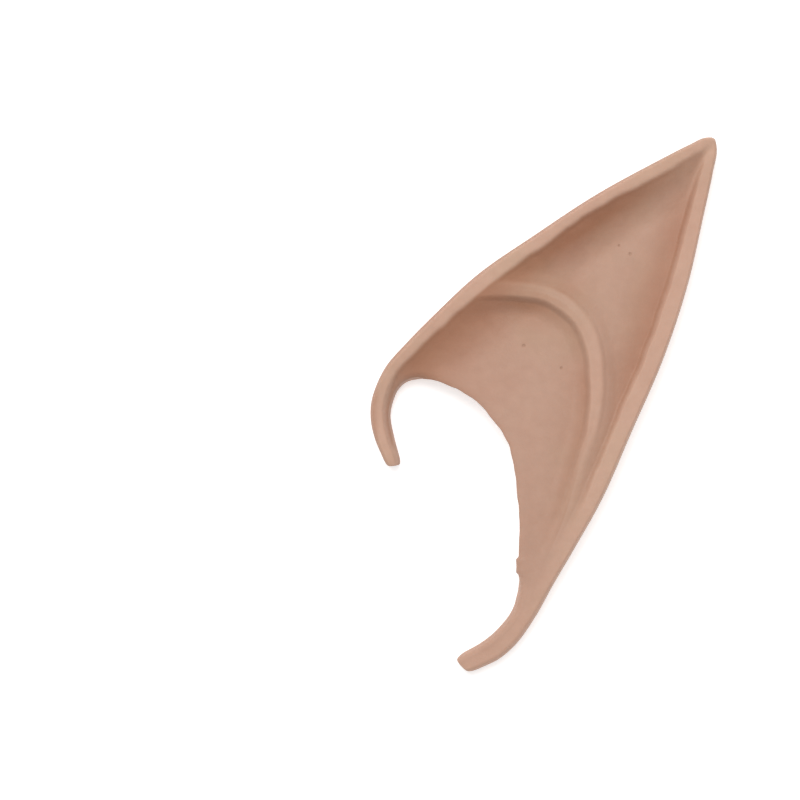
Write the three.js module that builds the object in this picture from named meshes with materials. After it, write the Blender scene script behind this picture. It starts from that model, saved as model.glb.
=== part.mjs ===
// Elf ear tip: the left one of a loose pair of soft latex ear covers, cast in one piece.
// It lies on its back. +X runs to the back of the ear, +Y up towards the point, +Z out of the
// front face. Millimetres. The origin is the middle of the footprint, on the resting surface.
//
// The form is lofted through spokes. Each spoke runs from the outer outline to the cut mouth
// edge, from the end of the upper hook, round the point, to the end of the lower strap.
// The body is a hollow pocket, open along the mouth, where the wearer's own ear slips in.
// The hook and the strap are solid.

import * as THREE from "three";

// ---- driving sizes ---------------------------------------------------------------------
const SIZE = {
  wall: 1.5,            // latex wall of the pocket
  edge: 0.5,            // how far the front wall rolls down at the cut mouth edge
  mouthRoll: 2.0,       // width of that roll
  backRecess: 0.8,      // the back wall is trimmed this much shorter at the mouth
  backCurl: 0.45,       // and curls up this much there
  equator: 0.43,        // height of the widest line of the rim, as a share of its crest
  wallFrom: -0.5,       // the rim's steep inner wall starts here, measured from the bead's width
  wallTo: 1.2,          // and ends here
  hollowPower: 1.6,     // how the hollow beside the rim curves out
  hollowSoft: 0.8,      // rounding where it starts
  moatReach: 6.0,       // how far the dip along the rim reaches into the floor
  pocketInset: 3.6,     // the pocket ends this far inside the outline
  pocketTipInset: 4.2,  // and this much more at the point
  pocketRound: 3.2,     // round end of the pocket
  grooveDepth: 0.8,     // groove round the back
  grooveAt: 7.6,        // its distance from the outline
  grooveWide: 1.5,
  tipLift: 2.2,         // the point stands off the surface
  tipLiftReach: 38,
  hookLift: 1.0,        // so does the end of the upper hook
  hookLiftReach: 22,
  tipDrop: 4.2,         // the floor sinks towards the point
  tipDropReach: 40,
  hookCap: 2.1,         // blunt ends of the hook
  strapCap: 2.7,        // and of the strap
  middleX: 0.04,        // middle of the footprint, in the frame of the tables
  middleY: -0.2,
  sectionStep: 3.2,     // distance between sections along the outline
};

// Spokes. ox, oy: outer outline. ix, iy: mouth edge. ridge: where the inner ridge crosses,
// as a share of the spoke from the mouth.
const SPOKES = [
  { at: "hook_end",   ox: -36.1, oy: -12.1, ix: -32.4, iy: -11.6, ridge: 0.50 },
  { at: "hook_low",   ox: -37.8, oy:  -8.1, ix: -33.5, iy:  -7.5, ridge: 0.50 },
  { at: "hook_mid",   ox: -38.8, oy:  -3.6, ix: -34.4, iy:  -3.2, ridge: 0.50 },
  { at: "hook_high",  ox: -38.7, oy:   0.3, ix: -34.2, iy:  -0.3, ridge: 0.50 },
  { at: "hook_bend",  ox: -37.6, oy:   4.0, ix: -33.1, iy:   2.4, ridge: 0.50 },
  { at: "hook_root",  ox: -35.3, oy:   8.5, ix: -31.1, iy:   4.6, ridge: 0.50 },
  { at: "crus",       ox: -31.2, oy:  13.2, ix: -28.4, iy:   5.5, ridge: 0.50 },
  { at: "brow_low",   ox: -24.6, oy:  19.9, ix: -25.3, iy:   5.4, ridge: 0.74 },
  { at: "brow_ridge", ox: -14.9, oy:  28.9, ix: -21.7, iy:   4.3, ridge: 0.86 },
  { at: "brow_mid",   ox: -2.05, oy:  37.8, ix: -18.1, iy:   2.6, ridge: 0.643 },
  { at: "brow_high",  ox:  11.5, oy:  46.7, ix: -14.9, iy:   0.4, ridge: 0.521 },
  { at: "brow_top",   ox: 25.65, oy:  54.5, ix: -12.3, iy:  -2.5, ridge: 0.436 },
  { at: "tip_lead",   ox:  33.2, oy:  58.4, ix: -10.5, iy:  -4.8, ridge: 0.394 },
  { at: "tip_front",  ox:  36.0, oy:  59.7, ix:  -9.7, iy:  -5.8, ridge: 0.381 },
  { at: "tip",        ox:  38.3, oy:  59.6, ix:  -9.1, iy:  -6.8, ridge: 0.374 },
  { at: "tip_back",   ox: 38.95, oy:  57.1, ix:  -8.6, iy:  -7.8, ridge: 0.375 },
  { at: "tip_tail",   ox:  38.1, oy:  52.1, ix:  -8.0, iy:  -9.0, ridge: 0.391 },
  { at: "back_top",   ox:  36.0, oy:  42.4, ix:  -7.2, iy: -11.7, ridge: 0.424 },
  { at: "back_high",  ox:  32.4, oy:  26.7, ix:  -6.4, iy: -15.5, ridge: 0.466 },
  { at: "back_mid",   ox:  26.8, oy:   9.8, ix:  -6.0, iy: -19.8, ridge: 0.512 },
  { at: "back_low",   ox:  20.0, oy:  -5.9, ix:  -5.5, iy: -24.0, ridge: 0.514 },
  { at: "tail_high",  ox:  13.1, oy: -21.6, ix:  -5.4, iy: -28.3, ridge: 0.536 },
  { at: "tail_mid",   ox:   6.8, oy: -32.9, ix:  -5.5, iy: -33.4, ridge: 0.52 },
  { at: "tail_low",   ox:   2.1, oy: -41.0, ix:  -5.5, iy: -40.6, ridge: 0.50 },
  { at: "lobe_root",  ox:  -1.5, oy: -47.6, ix:  -6.8, iy: -46.1, ridge: 0.50 },
  { at: "lobe_mid",   ox:  -6.2, oy: -54.3, ix: -11.0, iy: -51.5, ridge: 0.50 },
  { at: "lobe_turn",  ox: -10.0, oy: -57.6, ix: -14.2, iy: -54.0, ridge: 0.50 },
  { at: "lobe_end",   ox: -13.9, oy: -59.5, ix: -17.4, iy: -55.8, ridge: 0.50 },
];
const TIP_SPOKE = 14;

// Rolled rim. width: of the bead. crest: its height. roll: outer rounding. hollow: width of the
// hollow beside it. wall: share of the inner wall that falls steeply. moat: how far the floor dips
// beside it. under: rounding below. inner: rounding at the mouth edge where it is solid.
const RIM = [
  { spoke: 0,  width: 2.6, crest: 5.2,  roll: 1.0, hollow: 0.8,  wall: 0.7,  moat: 0.0, under: 1.8, inner: 1.2 },
  { spoke: 1,  width: 2.9, crest: 5.6,  roll: 1.0, hollow: 0.8,  wall: 0.7,  moat: 0.0, under: 1.9, inner: 1.2 },
  { spoke: 3,  width: 3.0, crest: 6.3,  roll: 1.0, hollow: 0.9,  wall: 0.7,  moat: 0.0, under: 2.0, inner: 1.2 },
  { spoke: 4,  width: 2.8, crest: 7.0,  roll: 1.0, hollow: 1.6,  wall: 0.6,  moat: 0.0, under: 2.1, inner: 1.3 },
  { spoke: 5,  width: 2.7, crest: 8.2,  roll: 1.0, hollow: 4.5,  wall: 0.2,  moat: 0.2, under: 2.4, inner: 1.6 },
  { spoke: 6,  width: 2.8, crest: 9.9,  roll: 1.0, hollow: 8.0,  wall: 0.1,  moat: 0.6, under: 3.0, inner: 1.8 },
  { spoke: 7,  width: 3.0, crest: 12.2, roll: 1.0, hollow: 11.5, wall: 0.06, moat: 0.9, under: 3.8, inner: 2.0 },
  { spoke: 8,  width: 3.5, crest: 14.2, roll: 1.0, hollow: 12.0, wall: 0.06, moat: 1.0, under: 4.4, inner: 2.0 },
  { spoke: 9,  width: 3.1, crest: 15.4, roll: 1.0, hollow: 11.0, wall: 0.06, moat: 1.1, under: 4.6, inner: 2.0 },
  { spoke: 10, width: 2.9, crest: 14.8, roll: 1.0, hollow: 10.0, wall: 0.06, moat: 1.1, under: 4.6, inner: 2.0 },
  { spoke: 11, width: 3.0, crest: 11.6, roll: 0.9, hollow: 8.5,  wall: 0.06, moat: 0.8, under: 4.0, inner: 2.0 },
  { spoke: 12, width: 2.5, crest: 8.3,  roll: 0.9, hollow: 6.0,  wall: 0.1,  moat: 0.3, under: 2.6, inner: 2.0 },
  { spoke: 14, width: 2.4, crest: 6.3,  roll: 0.8, hollow: 4.0,  wall: 0.4,  moat: 0.1, under: 1.8, inner: 2.0 },
  { spoke: 16, width: 3.0, crest: 7.4,  roll: 0.9, hollow: 4.0,  wall: 0.7,  moat: 0.3, under: 2.8, inner: 2.0 },
  { spoke: 17, width: 3.4, crest: 8.7,  roll: 0.9, hollow: 3.0,  wall: 0.85, moat: 0.4, under: 4.0, inner: 2.0 },
  { spoke: 18, width: 4.1, crest: 10.0, roll: 1.0, hollow: 3.0,  wall: 0.9,  moat: 0.5, under: 4.5, inner: 2.0 },
  { spoke: 19, width: 4.4, crest: 10.5, roll: 1.1, hollow: 3.0,  wall: 0.9,  moat: 0.5, under: 4.5, inner: 2.0 },
  { spoke: 20, width: 4.3, crest: 10.5, roll: 1.2, hollow: 3.0,  wall: 0.9,  moat: 0.5, under: 4.5, inner: 2.0 },
  { spoke: 21, width: 4.0, crest: 10.1, roll: 1.2, hollow: 3.6,  wall: 0.7,  moat: 0.3, under: 4.2, inner: 2.0 },
  { spoke: 22, width: 3.0, crest: 9.3,  roll: 1.2, hollow: 4.4,  wall: 0.1,  moat: 0.2, under: 3.6, inner: 2.0 },
  { spoke: 23, width: 2.6, crest: 8.4,  roll: 1.3, hollow: 3.6,  wall: 0.0,  moat: 0.1, under: 2.9, inner: 1.8 },
  { spoke: 24, width: 2.8, crest: 7.4,  roll: 1.5, hollow: 2.4,  wall: 0.0,  moat: 0.0, under: 2.6, inner: 1.7 },
  { spoke: 25, width: 2.8, crest: 6.2,  roll: 1.5, hollow: 2.0,  wall: 0.0,  moat: 0.0, under: 2.4, inner: 1.6 },
  { spoke: 27, width: 2.6, crest: 5.2,  roll: 1.5, hollow: 2.0,  wall: 0.0,  moat: 0.0, under: 2.2, inner: 1.6 },
];

// Front floor on the two sides of the ridge, and how open the pocket is (0 solid, 1 open).
const FLOOR = [
  { spoke: 0,  mouth: 3.5, upper: 3.5, open: 0 },
  { spoke: 2,  mouth: 4.1, upper: 4.1, open: 0 },
  { spoke: 4,  mouth: 5.0, upper: 5.0, open: 0 },
  { spoke: 5,  mouth: 5.7, upper: 5.6, open: 0 },
  { spoke: 6,  mouth: 6.4, upper: 6.3, open: 0.12 },
  { spoke: 7,  mouth: 7.2, upper: 7.2, open: 0.7 },
  { spoke: 8,  mouth: 8.0, upper: 8.2, open: 1 },
  { spoke: 9,  mouth: 8.5, upper: 8.6, open: 1 },
  { spoke: 11, mouth: 8.8, upper: 8.6, open: 1 },
  { spoke: 17, mouth: 9.0, upper: 8.6, open: 1 },
  { spoke: 19, mouth: 9.0, upper: 8.6, open: 1 },
  { spoke: 20, mouth: 8.9, upper: 8.5, open: 1 },
  { spoke: 21, mouth: 8.6, upper: 8.4, open: 1 },
  { spoke: 22, mouth: 8.2, upper: 8.1, open: 0.85 },
  { spoke: 23, mouth: 7.7, upper: 7.7, open: 0.25 },
  { spoke: 24, mouth: 7.1, upper: 7.1, open: 0 },
  { spoke: 27, mouth: 5.1, upper: 5.1, open: 0 },
];

// Inner ridge, from under the upper rim round to where it melts into the back rim.
// foot: how far the floor dips at its foot on the mouth side.
const RIDGE = [
  { x: -24.5, y:  25.2, width: 2.4, top: 13.2, foot: 0.6 },
  { x: -13.2, y:  25.4, width: 2.7, top: 12.0, foot: 0.8 },
  { x:  -5.2, y:  25.2, width: 2.7, top: 11.4, foot: 0.8 },
  { x:   0.1, y:  24.4, width: 2.9, top: 11.3, foot: 0.7 },
  { x:   4.1, y:  22.5, width: 3.1, top: 11.2, foot: 0.6 },
  { x:   8.2, y:  18.6, width: 3.1, top: 11.2, foot: 0.5 },
  { x:  10.6, y:  13.2, width: 3.0, top: 11.2, foot: 0.5 },
  { x:  11.6, y:   6.6, width: 2.8, top: 11.2, foot: 0.5 },
  { x:  11.6, y:   0.8, width: 2.5, top: 11.1, foot: 0.5 },
  { x:  10.3, y:  -6.5, width: 1.9, top: 10.8, foot: 0.5 },
  { x:   8.4, y: -12.0, width: 1.7, top: 10.3, foot: 0.5 },
  { x:   6.9, y: -17.3, width: 1.7, top: 9.8,  foot: 0.5 },
  { x:   5.2, y: -23.4, width: 1.6, top: 9.2,  foot: 0.4 },
  { x:   2.4, y: -30.6, width: 1.4, top: 8.6,  foot: 0.3 },
  { x:  -0.6, y: -37.0, width: 1.4, top: 8.0,  foot: 0.0 },
  { x:  -6.5, y: -48.0, width: 1.4, top: 6.9,  foot: 0.0 },
];
const RIDGE_SHAPE = {
  steep: 1.4,     // width of the steep part of the fall to the mouth side
  footSlope: 3.0, // width of the slope below it
  edgeDrop: 0.5,  // share of the fall to the point side that is at the ridge's edge
  gentle: 3.4,    // width of the rest of that fall
  shoulder: 0.8,  // how far below its top the floor starts on the point side
  lowShoulder: 0.5, // share of that along its lower half
  spread: 6.5,    // and how far that floor reaches out before it is at its own level
  footReach: 5.0, // how far the dip at its foot reaches out on the mouth side
};

// ---- curves through the tables ---------------------------------------------------------
const clamp = (v, a, b) => Math.min(b, Math.max(a, v));
const mix = (a, b, t) => a + (b - a) * t;
const ease = (a, b, v) => { const t = clamp((v - a) / (b - a), 0, 1); return t * t * (3 - 2 * t); };
// rounded shoulder: 0 at the edge, 1 from the width on
const shoulder = (u, n = 2) => { const v = clamp(u, 0, 1); return Math.pow(1 - Math.pow(1 - v, n), 1 / n); };

// A smooth curve through values at increasing knots.
function track(knots, values) {
  const n = knots.length;
  const slope = values.map((v, i) => {
    if (i === 0) return (values[1] - v) / (knots[1] - knots[0]);
    if (i === n - 1) return (v - values[n - 2]) / (knots[n - 1] - knots[n - 2]);
    const h0 = knots[i] - knots[i - 1], h1 = knots[i + 1] - knots[i];
    return (h1 * (v - values[i - 1]) / h0 + h0 * (values[i + 1] - v) / h1) / (h0 + h1);
  });
  return (k) => {
    let i = 0;
    while (i < n - 2 && k > knots[i + 1]) i++;
    const h = knots[i + 1] - knots[i], u = clamp((k - knots[i]) / h, 0, 1);
    const u2 = u * u, u3 = u2 * u;
    return (2 * u3 - 3 * u2 + 1) * values[i] + (u3 - 2 * u2 + u) * h * slope[i]
      + (3 * u2 - 2 * u3) * values[i + 1] + (u3 - u2) * h * slope[i + 1];
  };
}
// Knots spaced by a softened chord length, so that close rows don't overshoot.
function chordKnots(rows, x, y, power = 0.75) {
  const k = [0];
  for (let i = 1; i < rows.length; i++)
    k.push(k[i - 1] + Math.pow(Math.hypot(rows[i][x] - rows[i - 1][x], rows[i][y] - rows[i - 1][y]), power));
  return k;
}
const outKnots = chordKnots(SPOKES, "ox", "oy");
const inKnots = chordKnots(SPOKES, "ix", "iy");
const knotAt = (knots, s) => { const i = clamp(Math.floor(s), 0, knots.length - 2); return mix(knots[i], knots[i + 1], s - i); };
const along = (knots, key) => { const f = track(knots, SPOKES.map((r) => r[key])); return (s) => f(knotAt(knots, s)); };
const outX = along(outKnots, "ox"), outY = along(outKnots, "oy");
const inX = along(inKnots, "ix"), inY = along(inKnots, "iy");
const ridgeShare = along(outKnots, "ridge");
const column = (rows, key) => { const f = track(rows.map((r) => knotAt(outKnots, r.spoke)), rows.map((r) => r[key])); return (s) => f(knotAt(outKnots, s)); };
const rim = Object.fromEntries(["width", "crest", "roll", "hollow", "wall", "moat", "under", "inner"].map((k) => [k, column(RIM, k)]));
const floor = Object.fromEntries(["mouth", "upper", "open"].map((k) => [k, column(FLOOR, k)]));
const openness = (s) => ease(0, 1, floor.open(s));

// ---- nearest places on the outline and on the ridge ------------------------------------
function outlineRun(from, to, step = 0.05) {
  const run = [];
  const n = Math.round((to - from) / step);
  for (let i = 0; i <= n; i++) { const s = from + (to - from) * i / n; run.push({ x: outX(s), y: outY(s), s }); }
  return run;
}
const lastSpoke = SPOKES.length - 1;
const upperRun = outlineRun(0, TIP_SPOKE), backRun = outlineRun(TIP_SPOKE, lastSpoke);
function nearest(run, x, y) {
  let best = Infinity, s = 0, side = 1;
  for (let i = 0; i + 1 < run.length; i++) {
    const a = run[i], b = run[i + 1], ex = b.x - a.x, ey = b.y - a.y;
    const u = clamp(((x - a.x) * ex + (y - a.y) * ey) / (ex * ex + ey * ey), 0, 1);
    const dx = x - a.x - ex * u, dy = y - a.y - ey * u, d = dx * dx + dy * dy;
    if (d < best) { best = d; s = mix(a.s, b.s, u); side = ex * dy - ey * dx >= 0 ? 1 : -1; }
  }
  return { d: Math.sqrt(best), s, side };
}
const ridgeKnots = chordKnots(RIDGE, "x", "y", 1);
const ridgeTrack = Object.fromEntries(["x", "y", "width", "top", "foot"].map((k) => [k, track(ridgeKnots, RIDGE.map((r) => r[k]))]));
const ridgeRun = [];
for (let i = 0; i <= 150; i++) { const k = ridgeKnots.at(-1) * i / 150; ridgeRun.push({ x: ridgeTrack.x(k), y: ridgeTrack.y(k), s: k }); }

// ---- heights ---------------------------------------------------------------------------
const tipPoint = { x: outX(TIP_SPOKE), y: outY(TIP_SPOKE) };
const hookPoint = { x: outX(0), y: outY(0) };
const fade = (reach, p, x, y) => Math.pow(Math.max(0, 1 - Math.hypot(x - p.x, y - p.y) / reach), 2);
const lift = (x, y) => SIZE.tipLift * fade(SIZE.tipLiftReach, tipPoint, x, y) + SIZE.hookLift * fade(SIZE.hookLiftReach, hookPoint, x, y);
const softMax = (a, b, k) => { const h = Math.max(k - Math.abs(a - b), 0) / k; return Math.max(a, b) + h * h * k / 4; };

// The floor sinks towards the point.
const tipLow = (x, y) => SIZE.tipDrop * Math.pow(Math.max(0, 1 - Math.hypot(x - tipPoint.x, y - tipPoint.y) / SIZE.tipDropReach), 1.5);

// Floor of the front face without its rims. r: nearest place on the ridge.
function floorHeight(x, y, s, r) {
  const mouth = floor.mouth(s), upper = floor.upper(s);
  const across = r.side * r.d;                       // + towards the point, - towards the mouth
  const half = ridgeTrack.width(r.s) / 2, top = Math.max(ridgeTrack.top(r.s), mouth);
  const { steep, footSlope, edgeDrop, gentle, spread, footReach } = RIDGE_SHAPE;
  const foot = ridgeTrack.foot(r.s) * Math.exp(-Math.pow(Math.max(0, -half - steep - across) / footReach, 1.5));
  const drop = RIDGE_SHAPE.shoulder * mix(1, RIDGE_SHAPE.lowShoulder, ease(48, 62, r.s));
  const far = mix(upper, Math.max(upper, top - drop), Math.exp(-Math.pow(Math.max(0, across) / spread, 1.5)));
  const rise = 0.5 * ease(-half - steep, -half + 0.35, across) + 0.5 * ease(-half - steep - footSlope, -half, across);
  const fall = 1 - edgeDrop * ease(half - 0.5, half + 1, across) - (1 - edgeDrop) * ease(half, half + gentle, across);
  const solid = ease(4.5, 8.2, s) * (1 - ease(22.2, 23.6, s));  // no ridge in the hook and the strap
  const near = across < 0 ? mix(mouth - foot, top, rise) : mix(far, top, fall);
  return mix(across < 0 ? mouth : upper, near, solid) - tipLow(x, y);
}

// Rim above the floor, from one side of the outline.
function rimHeight(n, base) {
  const out = n.d - rim.width(n.s), steep = rim.wall(n.s);
  const cove = Math.pow(clamp(1 - (out + Math.hypot(out, SIZE.hollowSoft)) / 2 / rim.hollow(n.s), 0, 1), SIZE.hollowPower);
  return (rim.crest(n.s) - base) * (steep * (1 - ease(SIZE.wallFrom, SIZE.wallTo, out)) + (1 - steep) * cove);
}
// Dip of the floor along the rim.
const moat = (n) => rim.moat(n.s) * Math.exp(-Math.pow(Math.max(0, n.d - rim.width(n.s)) / SIZE.moatReach, 1.6));

// Front face at a place c from the mouth edge along spoke s.
function frontHeight(x, y, s, c) {
  const up = nearest(upperRun, x, y), back = nearest(backRun, x, y);
  const n = up.d < back.d ? up : back;
  const r = nearest(ridgeRun, x, y);
  const kept = 1 - 0.9 * Math.exp(-Math.pow(r.d / 2.6, 2)) * (1 - ease(16, 30, r.s));  // the ridge runs up into the rim
  const base = floorHeight(x, y, s, r) - Math.max(moat(up) * kept, moat(back));
  let z = base + softMax(softMax(rimHeight(up, base), rimHeight(back, base), 0.5), 0, 0.1);
  const side = rim.crest(n.s) * SIZE.equator;
  z = side + (z - side) * shoulder(n.d / rim.roll(n.s), 2.3);
  const open = openness(s);
  const lip = mix(z * 0.62, z - SIZE.edge, open);
  const wide = mix(rim.inner(s), SIZE.mouthRoll, open);
  z = lip + (z - lip) * shoulder(c / wide, 2);
  return z;
}
// Back face.
function backHeight(x, y, s, c) {
  const up = nearest(upperRun, x, y), back = nearest(backRun, x, y);
  const n = up.d < back.d ? up : back;
  const open = openness(s);
  const side = rim.crest(n.s) * SIZE.equator;
  const inner = rim.crest(s) * 0.3;
  let z = side * (1 - shoulder(n.d / rim.under(n.s), 2));
  z += inner * (1 - open) * (1 - shoulder(c / rim.inner(s), 2));
  z += SIZE.backCurl * open * Math.pow(clamp(1 - (c - SIZE.backRecess) / 2.2, 0, 1), 2);
  const groove = Math.exp(-Math.pow((n.d - SIZE.grooveAt) / SIZE.grooveWide, 2)) * open
    * ease(14, 30, Math.hypot(x - tipPoint.x, y - tipPoint.y)) * ease(2.5, 5, c) * ease(7.8, 9.5, s) * (1 - ease(21, 22.5, s));
  z += SIZE.grooveDepth * (groove > 0.02 ? groove : 0);
  return z;
}
// Roof of the pocket: under the floor and its dip at the back, without the rims and smooth under the ridge.
function roofHeight(x, y, s) {
  const r = nearest(ridgeRun, x, y);
  const dip = moat(nearest(backRun, x, y));
  return mix(floor.mouth(s) - 0.6, floor.upper(s), ease(-4, 4, r.side * r.d)) - dip - SIZE.wall - tipLow(x, y);
}

// ---- one section -----------------------------------------------------------------------
function section(s) {
  const ox = outX(s), oy = outY(s), ix = inX(s), iy = inY(s);
  const length = Math.hypot(ix - ox, iy - oy);
  const place = (d) => ({ x: mix(ox, ix, d / length), y: mix(oy, iy, d / length) });
  const open = openness(s);
  const bulge = 0.55 * (1 - ease(0, 0.35, open));

  // distance from the outline, along the spoke
  const samples = 90, depth = [];
  for (let i = 0; i <= samples; i++) { const p = place(length * i / samples); depth.push(Math.min(nearest(upperRun, p.x, p.y).d, nearest(backRun, p.x, p.y).d)); }
  const atDepth = (want) => {
    for (let i = 1; i <= samples; i++)
      if (depth[i] >= want) return length * (i - 1 + (want - depth[i - 1]) / Math.max(1e-9, depth[i] - depth[i - 1])) / samples;
    return length;
  };
  const w = rim.width(s), roll = rim.roll(s), hollow = rim.hollow(s), under = rim.under(s);
  // where the spoke meets the ridge, `across` from its middle line
  const share = length * (1 - ridgeShare(s));
  const sides = [];
  for (let i = 0; i <= samples; i++) { const p = place(length * i / samples), r = nearest(ridgeRun, p.x, p.y); sides.push(r.side * r.d); }
  const ridged = ease(7.75, 8.0, s) * (1 - ease(21.6, 22.4, s));
  const atRidge = (across) => {
    const plain = clamp(share - across * 1.15, atDepth(w) + 1, length - SIZE.mouthRoll);
    if (ridged === 0) return plain;
    for (let i = samples; i > 0; i--)
      if (sides[i] < across && sides[i - 1] >= across)
        return mix(plain, length * (i - 1 + (sides[i - 1] - across) / (sides[i - 1] - sides[i])) / samples, ridged);
    return plain;
  };
  const half = ridgeTrack.width(nearest(ridgeRun, place(share).x, place(share).y).s) / 2;
  const solidness = clamp(ease(7.6, 5.6, s) + ease(21.8, 23.4, s), 0, 1);
  // Stations with a least step between them. Where the form is solid, only the first ones are kept
  // at their places and the rest step evenly to the end.
  const settle = (list, keep, end, round) => {
    const open = list.map((d) => clamp(d, 0, end));
    for (let i = 1; i < open.length; i++) open[i] = Math.max(open[i], open[i - 1] + 0.06);
    for (let i = open.length - 1, most = end; i >= 0; i--, most -= 0.03) open[i] = Math.min(open[i], most);
    const n = list.length - 1 - keep, from = Math.min(list[keep], end * 0.7);
    return open.map((d, i) => {
      const u = (i - keep) / n;
      const solid = i <= keep ? Math.min(list[i], from * i / keep + 0.6) : from + (end - from) * mix(u, Math.sin(u * Math.PI / 2), round);
      return mix(d, solid, solidness);
    });
  };

  // front face, outline to mouth
  const wallEnd = atDepth(w + SIZE.wallTo + 0.1);
  const hollowEnd = Math.max(wallEnd + 0.3, Math.min(atDepth(w + hollow), atRidge(half + RIDGE_SHAPE.gentle) - 0.4));
  let front = [0, ...[25, 50, 75].map((a) => atDepth(roll * (1 - Math.cos(a * Math.PI / 180)))),
    atDepth(w * 0.55), atDepth(w - 0.5), atDepth(w - 0.05), atDepth(w + 0.3), atDepth(w + 0.65), wallEnd,
    mix(wallEnd, hollowEnd, 0.3), mix(wallEnd, hollowEnd, 0.64), hollowEnd,
    atRidge(half + RIDGE_SHAPE.gentle), atRidge(half + 1.7), atRidge(half + 0.8), atRidge(half + 0.1), atRidge(half - 0.5),
    atRidge(0.35 - half), atRidge(-half - 0.15), atRidge(-half - 0.6), atRidge(-half - RIDGE_SHAPE.steep),
    atRidge(-half - RIDGE_SHAPE.steep - RIDGE_SHAPE.footSlope * 0.5)];
  const rest = front.at(-1), mouthStart = length - SIZE.mouthRoll;
  front.push(mix(rest, mouthStart, 0.22), mix(rest, mouthStart, 0.6), mouthStart, length - 1.1, length - 0.35, length - bulge);
  front = settle(front, 5, length - bulge, 0.35);
  const frontEnd = length - bulge;

  // back face, mouth to outline
  const backStart = length - mix(bulge, SIZE.backRecess, open);
  let back = [0, ...[22, 45, 68].map((a) => atDepth(under * (1 - Math.cos(a * Math.PI / 180)))), atDepth(under),
    atDepth(SIZE.grooveAt - 1.7), atDepth(SIZE.grooveAt), atDepth(SIZE.grooveAt + 1.7), atDepth(SIZE.grooveAt + 3.2),
    length - 3.2, length - 1.8, backStart];
  back = settle(back, 4, backStart, 0.8).slice(1).reverse();

  const loop = [];
  const put = (d, z) => { const p = place(d); loop.push(new THREE.Vector3(p.x, p.y, z + lift(p.x, p.y))); };
  for (const d of front) { const p = place(d); put(d, frontHeight(p.x, p.y, s, length - d)); }
  const frontEdge = loop.at(-1).z - lift(loop.at(-1).x, loop.at(-1).y);
  const backEdgePlace = place(backStart);
  const backEdge = backHeight(backEdgePlace.x, backEdgePlace.y, s, length - backStart);

  // pocket, or the plain inner side where the form is solid
  const tipNear = ease(30, 6, Math.hypot(ox - tipPoint.x, oy - tipPoint.y));
  const pocketEnd = Math.max(0.5, length - atDepth(SIZE.pocketInset + SIZE.pocketTipInset * tipNear));
  const shares = [0, 0.2, 0.45, 0.7, 0.87, 0.96, 1, 0.96, 0.87, 0.7, 0.45, 0.2, 0];
  shares.forEach((share, i) => {
    const c = i === shares.length - 1 ? SIZE.backRecess : share * pocketEnd;
    const p = place(length - c);
    const roof = roofHeight(p.x, p.y, s);
    const ground = backHeight(p.x, p.y, s, Math.max(c, SIZE.backRecess)) + SIZE.wall;
    const middle = (roof + ground) / 2, gap = Math.max(0.25, (roof - ground) / 2);
    const reach = shoulder((pocketEnd - c) / Math.min(SIZE.pocketRound, pocketEnd * 0.6), 2);
    const z = i < 6 ? middle + gap * reach : i > 6 ? middle - gap * reach : middle;
    const q = (i + 1) / (shares.length + 1);
    const solidC = mix(length - frontEnd, length - backStart, q) - bulge * Math.sin(Math.PI * q);
    const hollowed = ease(0.25, 1, open);
    put(length - mix(solidC, c, hollowed), mix(mix(frontEdge, backEdge, q), z, hollowed));
  });
  for (const d of back) { const p = place(d); put(d, backHeight(p.x, p.y, s, length - d)); }
  return loop;
}

// ---- loft ------------------------------------------------------------------------------
const stations = [];
for (let i = 0; i < lastSpoke; i++) {
  const run = Math.hypot(SPOKES[i + 1].ox - SPOKES[i].ox, SPOKES[i + 1].oy - SPOKES[i].oy);
  const steps = Math.max(2, Math.round(run / SIZE.sectionStep));
  for (let k = 0; k < steps; k++) stations.push(i + k / steps);
}
stations.push(lastSpoke);
const loops = stations.map(section);

// Blunt rounded ends: the end section moves out and shrinks.
const CAP = [{ out: 0.45, size: 0.97 }, { out: 0.8, size: 0.88 }, { out: 1.0, size: 0.7 }];
const middleOf = (loop) => loop.reduce((a, v) => a.add(v), new THREE.Vector3()).divideScalar(loop.length);
function cap(loop, inward, long) {
  const middle = middleOf(loop);
  const away = middle.clone().sub(inward).setZ(0).normalize().multiplyScalar(long);
  return { rings: CAP.map((r) => loop.map((v) => v.clone().sub(middle).multiplyScalar(r.size).add(middle).addScaledVector(away, r.out))),
    end: middle.clone().addScaledVector(away, 1.03) };
}
const startCap = cap(loops[0], middleOf(loops[1]), SIZE.hookCap), endCap = cap(loops.at(-1), middleOf(loops.at(-2)), SIZE.strapCap);
const rings = [...startCap.rings.slice().reverse(), ...loops, ...endCap.rings];

const points = rings.flat(), index = [], per = loops[0].length;
points.push(startCap.end, endCap.end);
for (const v of points) { v.x -= SIZE.middleX; v.y -= SIZE.middleY; }
for (let r = 0; r + 1 < rings.length; r++)
  for (let i = 0; i < per; i++) {
    const a = r * per + i, b = r * per + (i + 1) % per, c = a + per, d = b + per;
    // the shorter diagonal keeps the facets flat
    if (points[a].distanceTo(points[d]) < points[b].distanceTo(points[c])) index.push(a, d, b, a, c, d);
    else index.push(a, c, b, b, c, d);
  }
const first = points.length - 2, last = points.length - 1, base = (rings.length - 1) * per;
for (let i = 0; i < per; i++) {
  index.push(first, i, (i + 1) % per);
  index.push(last, base + (i + 1) % per, base + i);
}

// Faces point outwards: the signed volume is positive.
let volume = 0;
for (let i = 0; i < index.length; i += 3)
  volume += points[index[i]].dot(points[index[i + 1]].clone().cross(points[index[i + 2]])) / 6;
if (volume < 0) for (let i = 0; i < index.length; i += 3) [index[i + 1], index[i + 2]] = [index[i + 2], index[i + 1]];

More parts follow.
